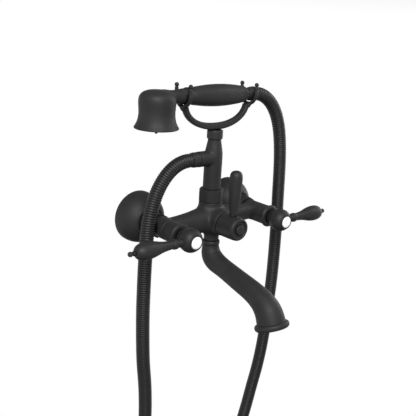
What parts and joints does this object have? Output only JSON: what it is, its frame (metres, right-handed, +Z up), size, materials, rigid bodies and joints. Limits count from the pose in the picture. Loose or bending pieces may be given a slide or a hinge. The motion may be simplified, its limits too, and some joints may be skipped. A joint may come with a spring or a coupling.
{
  "type": "wall mounted bath faucet",
  "caption": "Wall mounted bath mixer in matt black with lever handles, a diverter, a swivel spout, a cradle and a telephone hand shower on a metal hose.",
  "frame": {"origin": "midway between the two inlet axes, on the finished wall", "axes": "+X along the wall to the right as seen from the room, +Y into the wall, +Z up"},
  "size_m": [0.3232, 0.2161, 0.6052],
  "materials": {
    "black_metal": "matt black powder coat over brass",
    "hose_black": "matt black double-lock metal hose",
    "brass": "machined brass",
    "steel": "stainless steel",
    "rubber": "black rubber",
    "ceramic": "white glazed enamel",
    "white_plastic": "white moulded plastic"
  },
  "bodies": {
    "mixer": {"wall_union_left": "brass", "wall_union_right": "brass", "escutcheon_left": "black_metal", "escutcheon_right": "black_metal", "union_nut_left": "black_metal", "union_nut_right": "black_metal", "union_washers": "rubber", "mixer_body": "black_metal", "valve_cartridge_left": "brass", "valve_cartridge_right": "brass", "ceramic_discs": "ceramic", "bonnet_ring_left": "black_metal", "bonnet_ring_right": "black_metal", "diverter_cartridge": "brass", "riser_nut": "black_metal", "riser_tee": "black_metal", "riser_oring": "rubber", "check_valve": "white_plastic", "cradle_collar": "black_metal", "cradle_yoke": "black_metal", "hose_nut_lower": "black_metal", "hose_washer_lower": "rubber", "hose": "hose_black"},
    "handle_left": {"spindle_left": "brass", "hub_left": "black_metal", "lever_left": "black_metal", "finial_left": "black_metal", "hub_screw_left": "steel", "button_left": "ceramic"},
    "handle_right": {"spindle_right": "brass", "hub_right": "black_metal", "lever_right": "black_metal", "finial_right": "black_metal", "hub_screw_right": "steel", "button_right": "ceramic"},
    "diverter": {"diverter_spindle": "brass", "diverter_knob": "black_metal", "diverter_lever": "black_metal", "diverter_cap": "black_metal"},
    "spout": {"spout_tail": "brass", "spout_orings": "rubber", "spout_ring": "black_metal", "spout": "black_metal", "outlet_insert": "black_metal"},
    "handset": {"handset_bell": "black_metal", "rose_plate": "black_metal", "rose_screw": "black_metal", "handset_neck": "black_metal", "handset_ring": "black_metal", "handset_tube": "brass", "handset_grip": "black_metal", "handset_end": "black_metal", "hose_nut_upper": "black_metal", "hose_washer_upper": "rubber"}
  },
  "joints": [
    {"name": "hot_handle", "type": "hinge", "parent": "mixer", "child": "handle_left", "pos_m": [-0.075, -0.1095, 0], "axis": [0, 1, 0], "range_deg": [-90, 0]},
    {"name": "cold_handle", "type": "hinge", "parent": "mixer", "child": "handle_right", "pos_m": [0.075, -0.1095, 0], "axis": [0, 1, 0], "range_deg": [0, 90]},
    {"name": "diverter_turn", "type": "hinge", "parent": "mixer", "child": "diverter", "pos_m": [0, -0.0985, 0], "axis": [0, 1, 0], "range_deg": [-45, 45]},
    {"name": "spout_swivel", "type": "hinge", "parent": "mixer", "child": "spout", "pos_m": [0, -0.0605, -0.03], "axis": [0, 0, 1], "range_deg": [-35, 35]},
    {"name": "handset_lift", "type": "slide", "parent": "mixer", "child": "handset", "axis": [0, 0, 1], "range_m": [0, 0.06], "deforming": ["hose"]}
  ]
}
